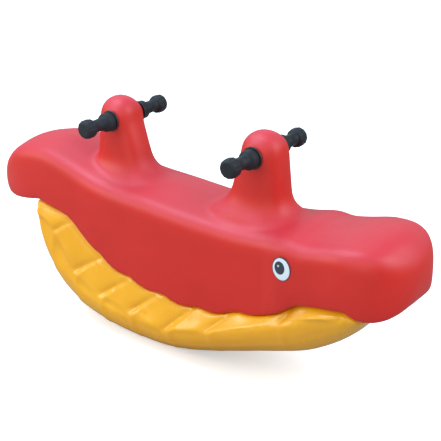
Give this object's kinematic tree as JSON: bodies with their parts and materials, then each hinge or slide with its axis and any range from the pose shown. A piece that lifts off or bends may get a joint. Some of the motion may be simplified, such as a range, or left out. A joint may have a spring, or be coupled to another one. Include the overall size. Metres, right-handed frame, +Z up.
{
  "type": "seesaw",
  "caption": "Whale-shaped children's rocker seesaw: a hollow red body with two handle posts on a hollow yellow fluted belly that rocks on the floor.",
  "frame": {"origin": "on the floor plane under the middle of the object: the centre of the bottom of its bounding box, midway between the two handle posts", "axes": "+X to the nose, +Y to the whale's left, +Z up; the line through both handlebars is level"},
  "size_m": [1.0936, 0.25, 0.524],
  "materials": {
    "red_plastic": "semi-gloss rotomoulded polyethylene with a fine orange-peel surface",
    "yellow_plastic": "semi-gloss rotomoulded polyethylene with a fine orange-peel surface",
    "grip_rubber": "satin moulded black rubber",
    "black_nylon": "satin moulded nylon",
    "steel": "zinc plated",
    "brass_insert": "plain",
    "eye_plastic": "glossy printed disc, white with a black pupil"
  },
  "bodies": {
    "rocker": {"body_shell": "red_plastic", "belly_shell": "yellow_plastic", "front_right_bush": "black_nylon", "front_left_bush": "black_nylon", "rear_right_bush": "black_nylon", "rear_left_bush": "black_nylon", "right_eye": "eye_plastic", "left_eye": "eye_plastic", "body_inserts": "brass_insert", "belly_bolts": "steel", "belly_washers": "steel", "belly_bolt_caps": "yellow_plastic", "body_vent_plug": "red_plastic", "belly_vent_plug": "yellow_plastic"},
    "front_handlebar": {"front_handle_tube": "steel", "front_right_grip": "grip_rubber", "front_left_grip": "grip_rubber"},
    "rear_handlebar": {"rear_handle_tube": "steel", "rear_right_grip": "grip_rubber", "rear_left_grip": "grip_rubber"}
  },
  "joints": [
    {"name": "front_handlebar_turn", "type": "hinge", "parent": "rocker", "child": "front_handlebar", "pos_m": [0.187, 0, 0.478], "axis": [0, 1, 0], "continuous": true},
    {"name": "rear_handlebar_turn", "type": "hinge", "parent": "rocker", "child": "rear_handlebar", "pos_m": [-0.187, 0, 0.478], "axis": [0, 1, 0], "continuous": true}
  ]
}
